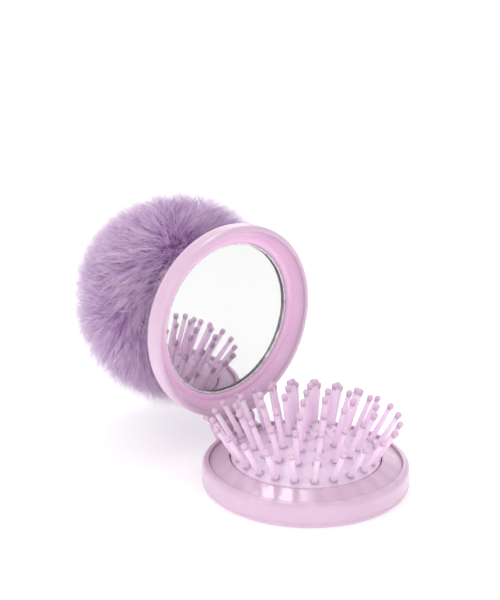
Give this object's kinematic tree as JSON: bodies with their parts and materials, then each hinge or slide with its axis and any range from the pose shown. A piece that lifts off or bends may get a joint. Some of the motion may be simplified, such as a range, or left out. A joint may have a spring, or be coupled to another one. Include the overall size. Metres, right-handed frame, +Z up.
{
  "type": "folding pocket hairbrush",
  "caption": "Round folding pocket hairbrush with pinned rubber cushion, mirror lid on a rear hinge and a fur ball on the lid.",
  "frame": {"origin": "centre of the base's underside, on the surface it stands on", "axes": "+Z up; +Y from the base towards the hinge; +X along the hinge axis, to the right seen from the front; the lid is stored open on its stop"},
  "size_m": [0.0752, 0.1387, 0.0855],
  "materials": {
    "pink_plastic": "glossy, slightly milky pink moulded plastic",
    "cushion_rubber": "soft satin lilac-pink rubber",
    "pin_nylon": "translucent satin nylon",
    "ball_resin": "glossy grey-mauve resin bead",
    "steel": "plain drawn steel wire",
    "mirror_glass": "clear polished glass",
    "silvering": "silvered",
    "adhesive": "clear-white tape",
    "cup_plastic": "matte",
    "backing_knit": "knitted backing cloth",
    "stuffing": "polyester wadding",
    "thread": "polyester thread",
    "faux_fur": "long soft lilac pile"
  },
  "bodies": {
    "base": {"base_shell": "pink_plastic", "base_bottom_cover": "pink_plastic", "cushion_bezel": "pink_plastic", "cushion": "cushion_rubber", "pins_centre": "pin_nylon", "pins_inner": "pin_nylon", "pins_third": "pin_nylon", "pins_second": "pin_nylon", "pins_outer": "pin_nylon", "pin_balls_centre": "ball_resin", "pin_balls_inner": "ball_resin", "pin_balls_third": "ball_resin", "pin_balls_second": "ball_resin", "pin_balls_outer": "ball_resin", "hinge_pin": "steel"},
    "lid": {"lid_shell": "pink_plastic", "mirror_glass": "mirror_glass", "mirror_silvering": "silvering", "mirror_adhesive": "adhesive", "pom_adhesive": "adhesive", "pom_mount_cup": "cup_plastic", "pom_backing": "backing_knit", "pom_stuffing": "stuffing", "pom_drawstring": "thread", "pom_fur": "faux_fur"}
  },
  "joints": [
    {"name": "lid_hinge", "type": "hinge", "parent": "base", "child": "lid", "pos_m": [0, 0.0369, 0.00931], "axis": [1, 0, 0], "range_deg": [0, 86.8], "deforming": ["cushion", "pins_centre", "pins_inner", "pins_third", "pins_second", "pins_outer", "pin_balls_centre", "pin_balls_inner", "pin_balls_third", "pin_balls_second", "pin_balls_outer"]}
  ]
}
